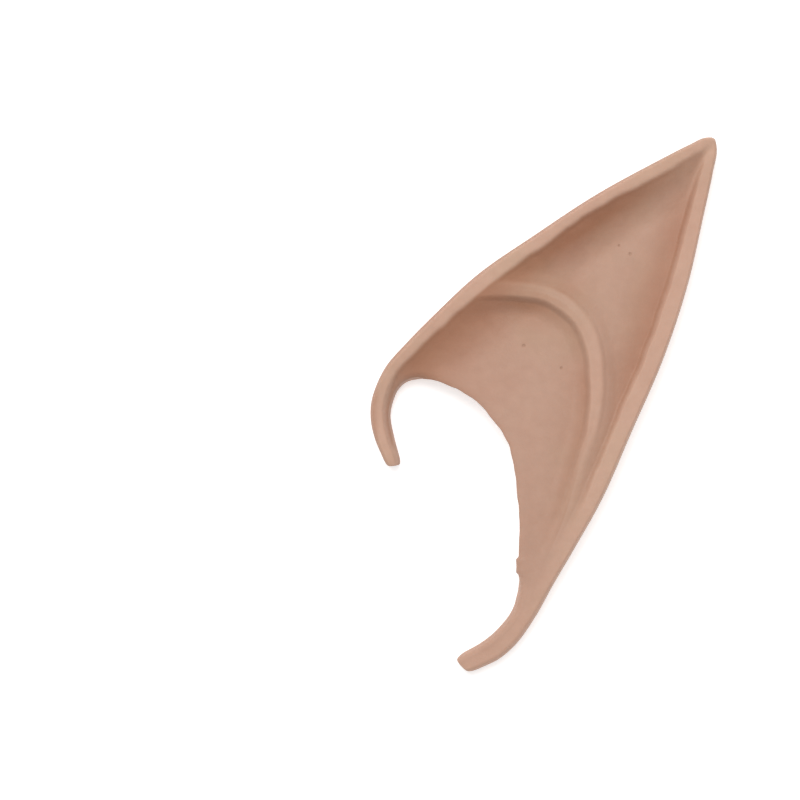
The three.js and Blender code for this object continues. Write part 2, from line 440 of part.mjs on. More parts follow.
const geometry = new THREE.BufferGeometry();
geometry.setAttribute("position", new THREE.Float32BufferAttribute(points.flatMap((v) => [v.x, v.y, v.z]), 3));
geometry.setIndex(index);
geometry.computeVertexNormals();

const latex = new THREE.MeshStandardMaterial({ name: "latex", color: 0xcb9f88, roughness: 0.62, metalness: 0 });
const shell = new THREE.Mesh(geometry, latex);
shell.name = "ear_shell";

const ear = new THREE.Group();
ear.name = "elf_ear_tip";
ear.add(shell);
export default ear;
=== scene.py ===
import math

import bpy
import numpy as np
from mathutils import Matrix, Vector


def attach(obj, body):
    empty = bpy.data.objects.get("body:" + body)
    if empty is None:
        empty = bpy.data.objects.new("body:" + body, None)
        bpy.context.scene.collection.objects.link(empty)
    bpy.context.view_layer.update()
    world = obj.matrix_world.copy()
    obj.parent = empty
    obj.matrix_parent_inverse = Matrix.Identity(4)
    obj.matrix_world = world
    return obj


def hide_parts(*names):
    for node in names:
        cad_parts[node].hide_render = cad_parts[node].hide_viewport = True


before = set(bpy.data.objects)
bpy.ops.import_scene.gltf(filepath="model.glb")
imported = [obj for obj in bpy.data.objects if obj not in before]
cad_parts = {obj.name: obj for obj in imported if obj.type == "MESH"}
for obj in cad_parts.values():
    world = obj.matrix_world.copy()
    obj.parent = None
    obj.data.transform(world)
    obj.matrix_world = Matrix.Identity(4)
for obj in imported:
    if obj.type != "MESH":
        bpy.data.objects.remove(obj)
scene = bpy.context.scene


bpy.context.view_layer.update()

# ---- sizes, as in the part ---------------------------------------------------------------
WALL = 1.5
EDGE = 0.5
MOUTH_ROLL = 2.0
BACK_RECESS = 0.8
BACK_CURL = 0.45
EQUATOR = 0.43
WALL_FROM, WALL_TO = -0.5, 1.2
HOLLOW_POWER = 1.6
HOLLOW_SOFT = 0.8
MOAT_REACH = 6.0
POCKET_INSET = 3.6
POCKET_TIP_INSET = 4.2
POCKET_ROUND = 3.2
GROOVE_DEPTH = 0.8
GROOVE_AT = 7.6
GROOVE_WIDE = 1.5
TIP_LIFT, TIP_LIFT_REACH = 2.2, 38.0
HOOK_LIFT, HOOK_LIFT_REACH = 1.0, 22.0
TIP_DROP, TIP_DROP_REACH = 4.2, 40.0
HOOK_CAP, STRAP_CAP = 2.2, 3.0
MIDDLE = np.array([0.04, -0.2])
NUB = 0.5, 34.2, 38.4          # trimming nub on the mouth edge: how far out, from, to (mm below the middle)
TIP_SPOKE = 14
# small burst bubbles in the cast surface: x, y, radius
PITS = [(16.8, 35.4, 0.28), (19.3, 33.5, 0.40), (-4.5, 13.0, 0.40), (3.9, 8.0, 0.36), (6.0, 38.7, 0.28)]
PIT_DEPTH = 0.10

# outer outline x, y; mouth edge x, y
SPOKES = np.array([
    (-36.1, -12.1, -32.4, -11.6), (-37.8, -8.1, -33.5, -7.5), (-38.8, -3.6, -34.4, -3.2),
    (-38.7, 0.3, -34.2, -0.3), (-37.6, 4.0, -33.1, 2.4), (-35.3, 8.5, -31.1, 4.6),
    (-31.2, 13.2, -28.4, 5.5), (-24.6, 19.9, -25.3, 5.4), (-14.9, 28.9, -21.7, 4.3),
    (-2.05, 37.8, -18.1, 2.6), (11.5, 46.7, -14.9, 0.4), (25.65, 54.5, -12.3, -2.5),
    (33.2, 58.4, -10.5, -4.8), (36.0, 59.7, -9.7, -5.8), (38.3, 59.6, -9.1, -6.8),
    (38.95, 57.1, -8.6, -7.8), (38.1, 52.1, -8.0, -9.0), (36.0, 42.4, -7.2, -11.7),
    (32.4, 26.7, -6.4, -15.5), (26.8, 9.8, -6.0, -19.8), (20.0, -5.9, -5.5, -24.0),
    (13.1, -21.6, -5.4, -28.3), (6.8, -32.9, -5.5, -33.4), (2.1, -41.0, -5.5, -40.6),
    (-1.5, -47.6, -6.8, -46.1), (-6.2, -54.3, -11.0, -51.5), (-10.0, -57.6, -14.2, -54.0),
    (-13.9, -59.5, -17.4, -55.8),
])
LAST = len(SPOKES) - 1
# spoke, bead width, crest height, outer rounding, hollow width, steep share of the wall, dip beside it, rounding below,
# rounding at the mouth edge
RIM = np.array([
    (0, 2.6, 5.2, 1.0, 0.8, 0.7, 0.0, 1.8, 1.2), (1, 2.9, 5.6, 1.0, 0.8, 0.7, 0.0, 1.9, 1.2), (3, 3.0, 6.3, 1.0, 0.9, 0.7, 0.0, 2.0, 1.2),
    (4, 2.8, 7.0, 1.0, 1.6, 0.6, 0.0, 2.1, 1.3), (5, 2.7, 8.2, 1.0, 4.5, 0.2, 0.2, 2.4, 1.6), (6, 2.8, 9.9, 1.0, 8.0, 0.1, 0.6, 3.0, 1.8),
    (7, 3.0, 12.2, 1.0, 11.5, 0.06, 0.9, 3.8, 2.0), (8, 3.5, 14.2, 1.0, 12.0, 0.06, 1.0, 4.4, 2.0), (9, 3.1, 15.4, 1.0, 11.0, 0.06, 1.1, 4.6, 2.0),
    (10, 2.9, 14.8, 1.0, 10.0, 0.06, 1.1, 4.6, 2.0), (11, 3.0, 11.6, 0.9, 8.5, 0.06, 0.8, 4.0, 2.0), (12, 2.5, 8.3, 0.9, 6.0, 0.1, 0.3, 2.6, 2.0),
    (14, 2.4, 6.3, 0.8, 4.0, 0.4, 0.1, 1.8, 2.0), (16, 3.0, 7.4, 0.9, 4.0, 0.7, 0.3, 2.8, 2.0), (17, 3.4, 8.7, 0.9, 3.0, 0.85, 0.4, 4.0, 2.0),
    (18, 4.1, 10.0, 1.0, 3.0, 0.9, 0.5, 4.5, 2.0), (19, 4.4, 10.5, 1.1, 3.0, 0.9, 0.5, 4.5, 2.0), (20, 4.3, 10.5, 1.2, 3.0, 0.9, 0.5, 4.5, 2.0),
    (21, 4.0, 10.1, 1.2, 3.6, 0.7, 0.3, 4.2, 2.0), (22, 3.0, 9.3, 1.2, 4.4, 0.1, 0.2, 3.6, 2.0), (23, 2.6, 8.4, 1.3, 3.6, 0.0, 0.1, 2.9, 1.8),
    (24, 2.8, 7.4, 1.5, 2.4, 0.0, 0.0, 2.6, 1.7), (25, 2.8, 6.2, 1.5, 2.0, 0.0, 0.0, 2.4, 1.6), (27, 2.6, 5.2, 1.5, 2.0, 0.0, 0.0, 2.2, 1.6),
])
# spoke, floor on the mouth side, floor on the point side, pocket open
FLOOR = np.array([
    (0, 3.5, 3.5, 0), (2, 4.1, 4.1, 0), (4, 5.0, 5.0, 0), (5, 5.7, 5.6, 0), (6, 6.4, 6.3, 0.12), (7, 7.2, 7.2, 0.7),
    (8, 8.0, 8.2, 1), (9, 8.5, 8.6, 1), (11, 8.8, 8.6, 1), (17, 9.0, 8.6, 1), (19, 9.0, 8.6, 1), (20, 8.9, 8.5, 1),
    (21, 8.6, 8.4, 1), (22, 8.2, 8.1, 0.85), (23, 7.7, 7.7, 0.25), (24, 7.1, 7.1, 0), (27, 5.1, 5.1, 0),
])
# ridge: x, y, width, top height, dip at its foot
RIDGE = np.array([
    (-24.5, 25.2, 2.4, 13.2, 0.6), (-13.2, 25.4, 2.7, 12.0, 0.8), (-5.2, 25.2, 2.7, 11.4, 0.8), (0.1, 24.4, 2.9, 11.3, 0.7),
    (4.1, 22.5, 3.1, 11.2, 0.6), (8.2, 18.6, 3.1, 11.2, 0.5), (10.6, 13.2, 3.0, 11.2, 0.5), (11.6, 6.6, 2.8, 11.2, 0.5),
    (11.6, 0.8, 2.5, 11.1, 0.5), (10.3, -6.5, 1.9, 10.8, 0.5), (8.4, -12.0, 1.7, 10.3, 0.5), (6.9, -17.3, 1.7, 9.8, 0.5),
    (5.2, -23.4, 1.6, 9.2, 0.4), (2.4, -30.6, 1.4, 8.6, 0.3), (-0.6, -37.0, 1.4, 8.0, 0.0), (-6.5, -48.0, 1.4, 6.9, 0.0),
])
STEEP, FOOT_SLOPE, EDGE_DROP, GENTLE, SHOULDER_DROP, LOW_SHOULDER, SPREAD, FOOT_REACH = 1.4, 3.0, 0.5, 3.4, 0.8, 0.5, 6.5, 5.0


# ---- curves through the tables -------------------------------------------------------------
def mix(a, b, t):
    return a + (b - a) * t


def ease(a, b, v):
    t = np.clip((v - a) / (b - a), 0, 1)
    return t * t * (3 - 2 * t)


def shoulder(u, n=2.0):
    return (1 - (1 - np.clip(u, 0, 1)) ** n) ** (1 / n)


def track(knots, values):
    knots, values = np.asarray(knots, float), np.asarray(values, float)
    h = np.diff(knots)
    d = np.diff(values) / h
    slope = np.empty_like(values)
    slope[0], slope[-1] = d[0], d[-1]
    slope[1:-1] = (h[1:] * d[:-1] + h[:-1] * d[1:]) / (h[:-1] + h[1:])

    def at(k):
        k = np.asarray(k, float)
        i = np.clip(np.searchsorted(knots, k, side="left") - 1, 0, len(knots) - 2)
        u = np.clip((k - knots[i]) / h[i], 0, 1)
        u2, u3 = u * u, u * u * u
        return ((2 * u3 - 3 * u2 + 1) * values[i] + (u3 - 2 * u2 + u) * h[i] * slope[i]
                + (3 * u2 - 2 * u3) * values[i + 1] + (u3 - u2) * h[i] * slope[i + 1])
    return at


def chord_knots(x, y, power=0.75):
    return np.concatenate([[0], np.cumsum(np.hypot(np.diff(x), np.diff(y)) ** power)])


out_knots = chord_knots(SPOKES[:, 0], SPOKES[:, 1])
in_knots = chord_knots(SPOKES[:, 2], SPOKES[:, 3])


def knot_at(knots, s):
    s = np.asarray(s, float)
    i = np.clip(np.floor(s).astype(int), 0, len(knots) - 2)
    return mix(knots[i], knots[i + 1], s - i)


def along(knots, values):
    f = track(knots, values)
    return lambda s: f(knot_at(knots, s))


out_x, out_y = along(out_knots, SPOKES[:, 0]), along(out_knots, SPOKES[:, 1])
in_x, in_y = along(in_knots, SPOKES[:, 2]), along(in_knots, SPOKES[:, 3])


def column(rows, j):
    f = track(knot_at(out_knots, rows[:, 0]), rows[:, j])
    return lambda s: f(knot_at(out_knots, s))


rim_width, rim_crest, rim_roll, rim_hollow, rim_wall, rim_moat, rim_under, rim_inner = [column(RIM, j) for j in range(1, 9)]
floor_mouth, floor_upper, floor_open = [column(FLOOR, j) for j in range(1, 4)]


def openness(s):
    return ease(0, 1, floor_open(s))


# ---- nearest places on the outline and on the ridge ----------------------------------------
def nearest(run, key, x, y):
    """Distance, key value and side of the nearest place on a polyline, for many points."""
    shape = np.shape(x)
    px, py = np.ravel(x), np.ravel(y)
    a, e = run[:-1], np.diff(run, axis=0)
    length2 = (e ** 2).sum(1)
    dist, value, side = np.empty(len(px)), np.empty(len(px)), np.empty(len(px))
    for lo in range(0, len(px), 20000):
        hi = min(len(px), lo + 20000)
        dx = px[lo:hi, None] - a[None, :, 0]
        dy = py[lo:hi, None] - a[None, :, 1]
        u = np.clip((dx * e[:, 0] + dy * e[:, 1]) / length2, 0, 1)
        dx -= e[:, 0] * u
        dy -= e[:, 1] * u
        d2 = dx * dx + dy * dy
        j = d2.argmin(1)
        r = np.arange(hi - lo)
        dist[lo:hi] = np.sqrt(d2[r, j])
        value[lo:hi] = mix(key[j], key[j + 1], u[r, j])
        side[lo:hi] = np.where(e[j, 0] * dy[r, j] - e[j, 1] * dx[r, j] >= 0, 1, -1)
    return dist.reshape(shape), value.reshape(shape), side.reshape(shape)


def outline_run(first, last, step=0.05):
    s = np.linspace(first, last, int(round((last - first) / step)) + 1)
    return np.stack([out_x(s), out_y(s)], 1), s


upper_run, upper_key = outline_run(0, TIP_SPOKE)
back_run, back_key = outline_run(TIP_SPOKE, LAST)
ridge_knots = chord_knots(RIDGE[:, 0], RIDGE[:, 1], 1)
ridge_x, ridge_y, ridge_width, ridge_top, ridge_foot = [track(ridge_knots, RIDGE[:, j]) for j in range(5)]
ridge_key = np.linspace(0, ridge_knots[-1], 201)
ridge_run = np.stack([ridge_x(ridge_key), ridge_y(ridge_key)], 1)
TIP = np.array([out_x(TIP_SPOKE), out_y(TIP_SPOKE)])
HOOK = np.array([out_x(0), out_y(0)])


# ---- smooth seeded noise --------------------------------------------------------------------
def lattice(i, j, seed):
    n = (i * 374761393 + j * 668265263 + seed * 974634777) & 0xFFFFFFFF
    n = ((n ^ (n >> 13)) * 1274126177) & 0xFFFFFFFF
    return ((n ^ (n >> 16)) & 0xFFFF) / 32767.5 - 1


def noise(x, y, size, seed):
    x, y = np.asarray(x) / size, np.asarray(y) / size
    i, j = np.floor(x).astype(np.int64), np.floor(y).astype(np.int64)
    u, v = x - i, y - j
    u, v = u * u * u * (u * (6 * u - 15) + 10), v * v * v * (v * (6 * v - 15) + 10)
    return mix(mix(lattice(i, j, seed), lattice(i + 1, j, seed), u),
               mix(lattice(i, j + 1, seed), lattice(i + 1, j + 1, seed), u), v)


# ---- heights --------------------------------------------------------------------------------
def tip_low(x, y):
    return TIP_DROP * np.maximum(0, 1 - np.hypot(x - TIP[0], y - TIP[1]) / TIP_DROP_REACH) ** 1.5


def lift(x, y):
    return (TIP_LIFT * np.maximum(0, 1 - np.hypot(x - TIP[0], y - TIP[1]) / TIP_LIFT_REACH) ** 2
            + HOOK_LIFT * np.maximum(0, 1 - np.hypot(x - HOOK[0], y - HOOK[1]) / HOOK_LIFT_REACH) ** 2)


def soft_max(a, b, k):
    h = np.maximum(k - np.abs(a - b), 0) / k
    return np.maximum(a, b) + h * h * k / 4


def across_ridge(x, y):
    d, key, side = nearest(ridge_run, ridge_key, x, y)
    return side * d, key


def floor_height(x, y, s):
    mouth, upper = floor_mouth(s), floor_upper(s)
    across, key = across_ridge(x, y)
    half, top = ridge_width(key) / 2, np.maximum(ridge_top(key), mouth)
    half = half + 0.10 * noise(x, y, 3.1, 5)
    foot = ridge_foot(key) * np.exp(-(np.maximum(0, -half - STEEP - across) / FOOT_REACH) ** 1.5)
    drop = SHOULDER_DROP * mix(1, LOW_SHOULDER, ease(48, 62, key))
    far = mix(upper, np.maximum(upper, top - drop), np.exp(-(np.maximum(0, across) / SPREAD) ** 1.5))
    rise = 0.5 * ease(-half - STEEP, -half + 0.35, across) + 0.5 * ease(-half - STEEP - FOOT_SLOPE, -half, across)
    fall = 1 - EDGE_DROP * ease(half - 0.5, half + 1.0, across) - (1 - EDGE_DROP) * ease(half, half + GENTLE, across)
    solid = ease(4.5, 8.2, s) * (1 - ease(22.2, 23.6, s))
    near = np.where(across < 0, mix(mouth - foot, top, rise), mix(far, top, fall))
    return mix(np.where(across < 0, mouth, upper), near, solid) - tip_low(x, y)


def rim_height(d, s, base):
    out, h, q = d - rim_width(s), rim_hollow(s), rim_wall(s)
    cove = np.clip(1 - (out + np.hypot(out, HOLLOW_SOFT)) / 2 / h, 0, 1) ** HOLLOW_POWER
    return (rim_crest(s) - base) * (q * (1 - ease(WALL_FROM, WALL_TO, out)) + (1 - q) * cove)


def moat(d, s):
    return rim_moat(s) * np.exp(-(np.maximum(0, d - rim_width(s)) / MOAT_REACH) ** 1.6)


def depths(x, y):
    du, su, _ = nearest(upper_run, upper_key, x, y)
    db, sb, _ = nearest(back_run, back_key, x, y)
    return du, su, db, sb, np.minimum(du, db), np.where(du < db, su, sb)


def uneven(x, y, su):
    """How far the bead's inner edge wanders: noise, and one narrower place on the front edge."""
    wave = 0.16 * noise(x, y, 4.2, 1) + 0.07 * noise(x, y, 1.7, 2)
    return wave, wave + 0.3 * np.exp(-((su - 9.75) / 0.35) ** 2)


def front_height(x, y, s, c):
    du, su, db, sb, d, sn = depths(x, y)
    wave, pinched = uneven(x, y, su)
    across, key = across_ridge(x, y)
    kept = 1 - 0.9 * np.exp(-(across / 2.6) ** 2) * (1 - ease(16, 30, key))       # the ridge runs up into the rim
    base = floor_height(x, y, s) - np.maximum(moat(du, su) * kept, moat(db, sb))
    z = base + soft_max(soft_max(rim_height(np.maximum(0, du + pinched), su, base), rim_height(np.maximum(0, db + wave), sb, base), 0.5), 0, 0.1)
    side = rim_crest(sn) * EQUATOR
    z = side + (z - side) * shoulder(d / rim_roll(sn), 2.3)
    opened = openness(s)
    for px, py, radius in PITS:
        z = z - PIT_DEPTH * np.exp(-((x - px) ** 2 + (y - py) ** 2) / radius ** 2)
    lip = mix(z * 0.62, z - EDGE, opened)
    wide = mix(rim_inner(s), MOUTH_ROLL, opened)
    return lip + (z - lip) * shoulder(c / wide, 2)


def painted_light_and_shade(x, y, s, c):
    """Painted light and shade for each place of the front: how much painted highlight (lighter) on raised tops and how
    much painted shade (darker) in hollows.
    """
    du, su, db, sb, _, _ = depths(x, y)
    wave, pinched = uneven(x, y, su)
    across, key = across_ridge(x, y)
    half = ridge_width(key) / 2 + 0.10 * noise(x, y, 3.1, 5)
    ridged = ease(4.5, 8.2, s) * (1 - ease(21.6, 23.2, s))
    hooked = 1 - ease(3.8, 5.2, su)
    up = (1 - ease(-0.3, 0.7, du + pinched - rim_width(su) - 0.25 * hooked)) * ease(0, mix(0.9, 2.2, ease(0.8, 1.8, su) * (1 - ease(3.0, 4.2, su))), du)
    hook_end = (1 - ease(0.2, 1.0, s)) * ease(0, 0.9, du)
    soft = 1.6 * ease(20.8, 21.8, sb)
    wider = 0.3 * ease(16.6, 17.4, sb) * (1 - ease(19.3, 20.0, sb))
    back = (1 - ease(-0.3 - soft + wider, 0.7 + soft + wider, db + wave - rim_width(sb))) * (1 - 0.45 * np.exp(-((sb - 16.2) / 0.7) ** 2))
    drift = 0.4 * ease(58, 64, key) * (1 - ease(74, 80, key))
    crown = ((1 - ease(half - 0.3, half + 0.8, np.abs(across - drift))) * ridged * (mix(0.1, 1, ease(16, 56, key)) + 0.3 * np.exp(-((key - 21) / 5) ** 2))
             * mix(1, 0.45, ease(52, 80, key)) * (1 - 0.7 * ease(74, 84, key)))
    strap = ease(22.5, 24.5, s) * (1 - 0.6 * (1 - ease(0.8, 2.8, c)))
    # painted highlight: bead, ridge, strap and hook-end tops made lighter, as where light falls on them
    painted_highlight = np.clip(np.maximum.reduce([up, back, crown, strap, hook_end]), 0, 1)
    # painted shade: darker under the upper rim, beside the back rim, below the ridge's foot, in the corner beside the
    # ridge and near the point
    reach = mix(mix(10.5, 6.6, ease(7.5, 9, su)), 3.3, ease(9.6, 11.3, su))
    from_rim = np.maximum(0, du - rim_width(su))
    under_rim = (np.exp(-(from_rim / reach) ** 2.0) * mix(0.45, 0.95, ease(4.2, 6, su)) * (1 - ease(10.0, 12.2, su))
                 + 0.2 * np.exp(-((from_rim - 2.4) / 1.3) ** 2 - ((su - 9.6) / 0.8) ** 2))
    far = mix(5.5 + 2.0 * np.exp(-((sb - 18.2) / 0.6) ** 2), 3.0, ease(19.2, 20, sb))
    by_back = (np.exp(-(np.maximum(0, db - rim_width(sb)) / far) ** 2.4) * ease(16.2, 17.6, sb)
               * mix(0.66, 0.4, ease(18.8, 20.4, sb)) * (1 - ease(20.8, 22.2, sb))
               * (1 - 0.45 * np.exp(-((across - half - 1.2) / 1.5) ** 2) * ease(44, 52, key)))
    away = -half - across
    width = mix(mix(7.5, 5.0, ease(30, 40, key)), 2.6, ease(60, 75, key))
    foot = (np.exp(-(np.maximum(0, away) / width) ** 1.5) * (across < 0) * ridged * mix(mix(0.72, 0.27, ease(20, 34, key)), 0.48, ease(42, 52, key)) * (1 - ease(75, 98, key))
            * (1 - 0.5 * np.exp(-((away - 0.5) / 0.6) ** 2) + 0.3 * np.exp(-((away - 1.8) / 0.8) ** 2)))
    corner = 0.36 * np.exp(-(np.maximum(0, across - half) / 7.0) ** 2) * ease(half - 0.6, half + 0.6, across) * ease(14, 22, key) * (1 - ease(28, 36, key)) * ridged
    point = 0.28 * np.exp(-(np.hypot(x - TIP[0], y - TIP[1]) / 13) ** 2)
    return painted_highlight, np.clip(np.maximum.reduce([under_rim, by_back, foot, corner]) + point, 0, 1) * (1 - painted_highlight)


def back_height(x, y, s, c):
    _, _, _, _, d, sn = depths(x, y)
    opened = openness(s)
    side = rim_crest(sn) * EQUATOR
    z = side * (1 - shoulder(d / rim_under(sn), 2))
    z = z + rim_crest(s) * 0.3 * (1 - opened) * (1 - shoulder(c / rim_inner(s), 2))
    z = z + BACK_CURL * opened * np.clip(1 - (c - BACK_RECESS) / 2.2, 0, 1) ** 2
    groove = (np.exp(-((d - GROOVE_AT) / GROOVE_WIDE) ** 2) * opened
              * ease(14, 30, np.hypot(x - TIP[0], y - TIP[1])) * ease(2.5, 5, c)
              * ease(7.8, 9.5, s) * (1 - ease(21, 22.5, s)))
    return z + GROOVE_DEPTH * groove


def roof_height(x, y, s):
    across, _ = across_ridge(x, y)
    _, _, db, sb, _, _ = depths(x, y)
    dip = moat(db, sb)
    return mix(floor_mouth(s) - 0.6, floor_upper(s), ease(-4, 4, across)) - dip - WALL - tip_low(x, y)


# ---- the shell --------------------------------------------------------------------------------
def spread(weights, n):
    """n stations from 0 to 1 along each row, closer together where the weights are high."""
    total = np.concatenate([np.zeros((len(weights), 1)), np.cumsum((weights[:, 1:] + weights[:, :-1]) / 2, 1)], 1)
    total /= total[:, -1:]
    grid = np.linspace(0, 1, weights.shape[1])
    want = np.linspace(0, 1, n)
    return np.array([np.interp(want, row, grid) for row in total])


def shell_rings(sections=300, front_n=216, pocket_n=40, back_n=34):
    # sections, closer together where the outline turns
    s = np.linspace(0, LAST, 6001)
    step = np.hypot(np.gradient(out_x(s)), np.gradient(out_y(s))) + 0.25 * np.hypot(np.gradient(in_x(s)), np.gradient(in_y(s)))
    run = np.concatenate([[0], np.cumsum(step[1:])])
    s = np.interp(np.linspace(0, run[-1], sections), run, s)
    O = np.stack([out_x(s), out_y(s)], 1)
    I = np.stack([in_x(s), in_y(s)], 1)
    length = np.hypot(*(I - O).T)
    trim = (NUB[0] * ease(NUB[1], NUB[1] + 0.5, -I[:, 1]) * (1 - ease(NUB[2] - 0.5, NUB[2], -I[:, 1])) * (I[:, 0] > -12)
            + 0.25 * ease(NUB[1], NUB[1] + 1, -I[:, 1]) * (1 - ease(NUB[2], NUB[2] + 5, -I[:, 1])) * (I[:, 0] > -12)
            + 0.22 * mix(0.4, 1, ease(2, 3, s)) * ease(0.8, 1.8, s) * (1 - ease(3.4, 4.4, s))
            + 0.10 * (noise(I[:, 0], I[:, 1], 1.9, 7) + noise(I[:, 0], I[:, 1], 4.5, 8)) * ease(5, 6.5, s) * (1 - ease(23, 24.5, s)))
    I = O + (I - O) * (1 + trim / length)[:, None]
    length = length + trim
    opened = openness(s)
    bulge = 0.55 * (1 - ease(0, 0.35, opened))

    def place(d):
        t = d / length[:, None]
        return mix(O[:, :1], I[:, :1], t), mix(O[:, 1:], I[:, 1:], t)

    fine = 400
    share = np.linspace(0, 1, fine)
    d = share[None, :] * length[:, None]
    x, y = place(d)
    depth = depths(x, y)[4]
    across, key = across_ridge(x, y)
    half = ridge_width(key) / 2
    c = length[:, None] - d
    solid = (1 - ease(5.6, 7.6, s) + ease(22, 23.4, s))[:, None]
    w = rim_width(s)[:, None]
    rim_weight = 5.0 * np.exp(-(depth / 0.9) ** 2) + 4.0 * np.exp(-((depth - w - 0.35) / 0.8) ** 2) + 1.2 * (depth < w)
    ridge_weight = (1 - solid) * (3.0 * np.exp(-((across + half + 0.4) / 0.9) ** 2) + 1.6 * np.exp(-((across - half - 0.6) / 1.6) ** 2))
    mouth_weight = 3.5 * np.exp(-(c / 0.7) ** 2) + 1.0 * np.exp(-(c / 2.0) ** 2)
    weight = 1.0 + rim_weight + ridge_weight + mouth_weight
    front = spread(weight, front_n) * (length - bulge)[:, None]
    back_weight = 0.5 + 4.0 * np.exp(-(depth / 1.2) ** 2) + 1.0 * np.exp(-(depth / 6.0) ** 2) + 0.7 * np.exp(-((depth - GROOVE_AT) / 2.5) ** 2) + 2.0 * np.exp(-(c / 1.5) ** 2)
    back_end = length - mix(bulge, BACK_RECESS, opened)   # the back wall is trimmed shorter
    back = (spread(back_weight, back_n) * back_end[:, None])[:, 1:][:, ::-1]
    column_s = s[:, None]

    fx, fy = place(front)
    fz = front_height(fx, fy, column_s + 0 * front, length[:, None] - front)
    bx, by = place(back)
    bz = back_height(bx, by, column_s + 0 * back, length[:, None] - back)
    front_edge, back_edge = fz[:, -1:], bz[:, :1]

    # pocket, or the plain inner side where the form is solid
    tip_near = 1 - ease(6, 30, np.hypot(O[:, 0] - TIP[0], O[:, 1] - TIP[1]))
    want = POCKET_INSET + POCKET_TIP_INSET * tip_near
    reached = np.array([length[i] if depth[i].max() < want[i] else np.interp(want[i], depth[i][: depth[i].argmax() + 1], d[i][: depth[i].argmax() + 1]) for i in range(len(s))])
    end = np.maximum(0.5, length - reached)[:, None]
    m = pocket_n // 2
    u = np.linspace(0, 1, m + 1)
    shares = np.concatenate([np.sin(u * math.pi / 2) ** 0.9, (np.sin(u[:-1] * math.pi / 2) ** 0.9)[::-1]])
    n = len(shares)
    pc = shares[None, :] * end
    pc[:, -1] = BACK_RECESS
    px, py = place(length[:, None] - pc)
    sp = column_s + 0 * pc
    roof = roof_height(px, py, sp)
    ground = back_height(px, py, sp, np.maximum(pc, BACK_RECESS)) + WALL
    middle, gap = (roof + ground) / 2, np.maximum(0.25, (roof - ground) / 2)
    reach = shoulder((end - pc) / np.minimum(POCKET_ROUND, end * 0.6), 2)
    sign = np.where(np.arange(n) < m, 1, np.where(np.arange(n) > m, -1, 0))
    pz = middle + sign * gap * reach
    q = ((np.arange(n) + 1) / (n + 1))[None, :]
    front_c, back_c = bulge[:, None], (length - back_end)[:, None]
    solid_c = mix(front_c, back_c, q) - bulge[:, None] * np.sin(math.pi * q)
    o = ease(0.25, 1, opened)[:, None]
    px, py = place(length[:, None] - mix(solid_c, pc, o))
    pz = mix(mix(front_edge, back_edge, q), pz, o)

    X = np.concatenate([fx, px, bx], 1)
    Y = np.concatenate([fy, py, by], 1)
    Z = np.concatenate([fz, pz, bz], 1)
    Z = Z + lift(X, Y)
    # painted light on the front: painted highlight on raised tops and painted shade in hollows; the pocket and back get
    # a fixed 0.3 of the painted highlight and no painted shade
    painted_highlight, low = painted_light_and_shade(fx, fy, column_s + 0 * front, length[:, None] - front)
    painted_highlight = np.concatenate([painted_highlight, 0.3 + 0 * px, 0.3 + 0 * bx], 1)
    low = np.concatenate([low, 0 * px, 0 * bx], 1)
    return np.stack([X, Y, Z], 2), painted_highlight, low


CAP = [(0.12, 0.995), (0.25, 0.98), (0.4, 0.955), (0.55, 0.92), (0.7, 0.87), (0.82, 0.81), (0.9, 0.75), (0.96, 0.66), (1.0, 0.54), (1.02, 0.4), (1.03, 0.2)]


def cap(ring, inner, size):
    centre, away = ring.mean(0), ring.mean(0) - inner.mean(0)
    away[2] = 0
    away *= size / np.linalg.norm(away)
    rings = [centre + (ring - centre) * k + away * o for o, k in CAP]
    return rings, centre + away * 1.035


def build_shell():
    rings, painted_highlight, low = shell_rings()
    hook, hook_end = cap(rings[0], rings[1], HOOK_CAP)
    strap, strap_end = cap(rings[-1], rings[-2], STRAP_CAP)
    all_rings = np.array(hook[::-1] + list(rings) + strap)
    count, per = all_rings.shape[:2]
    points = all_rings.reshape(-1, 3)
    r, i = np.meshgrid(np.arange(count - 1), np.arange(per), indexing="ij")
    a = r * per + i
    b = r * per + (i + 1) % per
    quads = np.stack([a, a + per, b + per, b], 2).reshape(-1, 4)
    first, last = len(points), len(points) + 1
    points = np.vstack([points, hook_end, strap_end])
    points[:, :2] -= MIDDLE
    faces = [tuple(q) for q in quads.tolist()]
    base = (count - 1) * per
    faces += [(first, k, (k + 1) % per) for k in range(per)]
    faces += [(last, base + (k + 1) % per, base + k) for k in range(per)]
    mesh = bpy.data.meshes.new("latex_ear")
    mesh.from_pydata((points / 1000).tolist(), [], faces)
    mesh.update()
    # faces point outwards
    import bmesh
    bm = bmesh.new()
    bm.from_mesh(mesh)
    if bm.calc_volume(signed=True) < 0:
        bmesh.ops.reverse_faces(bm, faces=bm.faces)
    bm.to_mesh(mesh)
    bm.free()
    mesh.shade_smooth()
    for name, grid in (("painted_highlight", painted_highlight), ("hollow", low)):
        rows = [grid[:1]] * len(hook) + [grid] + [grid[-1:]] * len(strap)
        values = np.concatenate([np.concatenate(rows).ravel(), [grid[0].mean(), grid[-1].mean()]])
        mesh.attributes.new(name, "FLOAT", "POINT").data.foreach_set("value", values.astype(np.float32))
    obj = bpy.data.objects.new("latex_ear", mesh)
    scene.collection.objects.link(obj)
    # where each burst bubble meets the front face
    pits = []
    for x, y, radius in PITS:
        x, y = x - MIDDLE[0], y - MIDDLE[1]
        close = np.hypot(points[:, 0] - x, points[:, 1] - y) < 1.0
        pits.append((x, y, points[close, 2].max(), radius))
    return obj, pits


